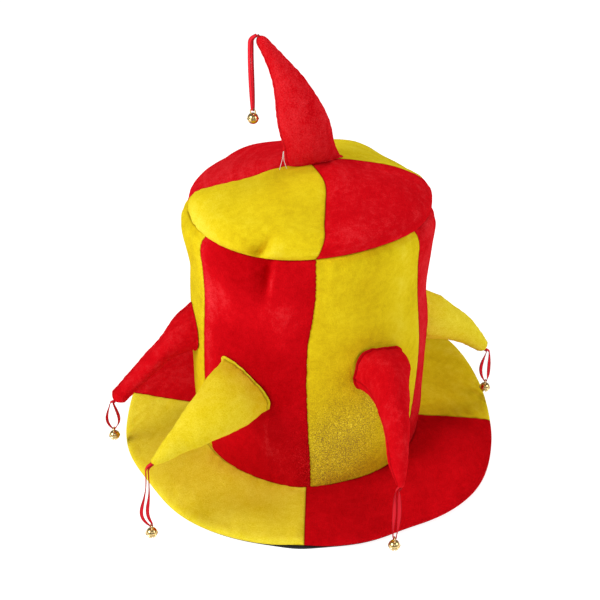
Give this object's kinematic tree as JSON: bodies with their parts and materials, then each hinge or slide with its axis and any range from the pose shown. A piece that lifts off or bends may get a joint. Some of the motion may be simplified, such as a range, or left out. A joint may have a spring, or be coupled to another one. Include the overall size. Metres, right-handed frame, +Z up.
{
  "type": "clown hat",
  "caption": "Tall plush clown hat in red and yellow panels, with a puffy cap, a flat padded brim, and stuffed horns that each carry a small jingle bell on a ribbon loop.",
  "frame": {"origin": "on the surface that the hat stands on, under the middle of the crown", "axes": "+Z up along the crown's axis, -Y out of the hat's front, +X to the right as seen from the front"},
  "size_m": [0.3423, 0.3592, 0.3662],
  "materials": {
    "red_plush": "short-pile plush, matt with a soft sheen",
    "yellow_plush": "short-pile plush, matt with a soft sheen",
    "black_facing": "plain woven cloth, matt",
    "red_satin": "narrow satin ribbon, silky",
    "gold_bell": "bright gold plating"
  },
  "bodies": {
    "root": {"crown_front_left": "red_plush", "crown_front_right": "yellow_plush", "crown_right": "red_plush", "crown_back_right": "yellow_plush", "crown_back_left": "red_plush", "crown_left": "yellow_plush", "cap_front_left": "yellow_plush", "cap_front_right": "red_plush", "cap_back_right": "yellow_plush", "cap_back_left": "red_plush", "brim_front_left": "yellow_plush", "brim_front_right": "red_plush", "brim_back_right": "yellow_plush", "brim_back_left": "red_plush", "brim_facing": "black_facing", "horn_top": "red_plush", "horn_front_left": "yellow_plush", "horn_front_right": "red_plush", "horn_right": "yellow_plush", "horn_back_right": "red_plush", "horn_back_left": "yellow_plush", "horn_left": "red_plush", "ribbon_top": "red_satin", "ribbon_front_left": "red_satin", "ribbon_front_right": "red_satin", "ribbon_right": "red_satin", "ribbon_back_right": "red_satin", "ribbon_back_left": "red_satin", "ribbon_left": "red_satin", "bell_top": "gold_bell", "bell_front_left": "gold_bell", "bell_front_right": "gold_bell", "bell_right": "gold_bell", "bell_back_right": "gold_bell", "bell_back_left": "gold_bell", "bell_left": "gold_bell"}
  },
  "joints": []
}
